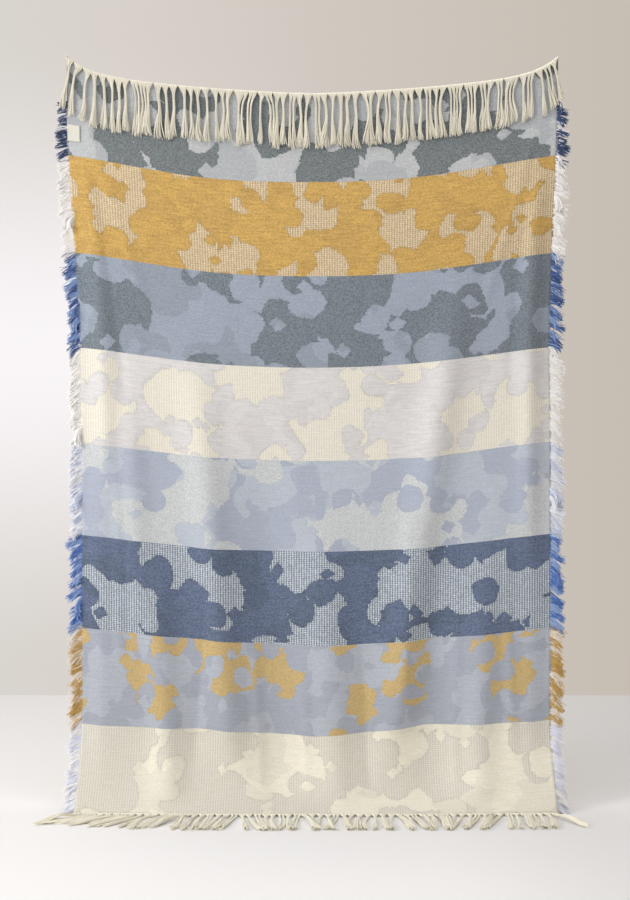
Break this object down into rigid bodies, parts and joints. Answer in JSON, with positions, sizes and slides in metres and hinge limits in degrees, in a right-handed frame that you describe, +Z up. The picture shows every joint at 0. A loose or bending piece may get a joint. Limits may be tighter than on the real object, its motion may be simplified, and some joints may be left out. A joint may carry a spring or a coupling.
{
  "type": "throw blanket",
  "caption": "Cotton throw blanket woven in broad colour bands, hung by its top edge, with long gathered fringe at both ends, short frayed sides and a small blank label.",
  "frame": {"origin": "the middle of the cloth's top edge", "axes": "+Z up, along the hung cloth; the front faces -Y; +X to the right as seen from the front"},
  "size_m": [1.4102, 0.2915, 2.0023],
  "materials": {
    "woven_cotton": "matt woven cotton in eight colour bands",
    "cream_yarn": "matt twisted cotton yarn",
    "weft_yarn": "matt frayed cotton yarn in the colours of the bands",
    "label_tape": "smooth woven tape"
  },
  "bodies": {
    "root": {"cloth": "woven_cotton", "top_fringe": "cream_yarn", "foot_fringe": "cream_yarn", "left_fringe": "weft_yarn", "right_fringe": "weft_yarn", "label": "label_tape"}
  },
  "joints": []
}
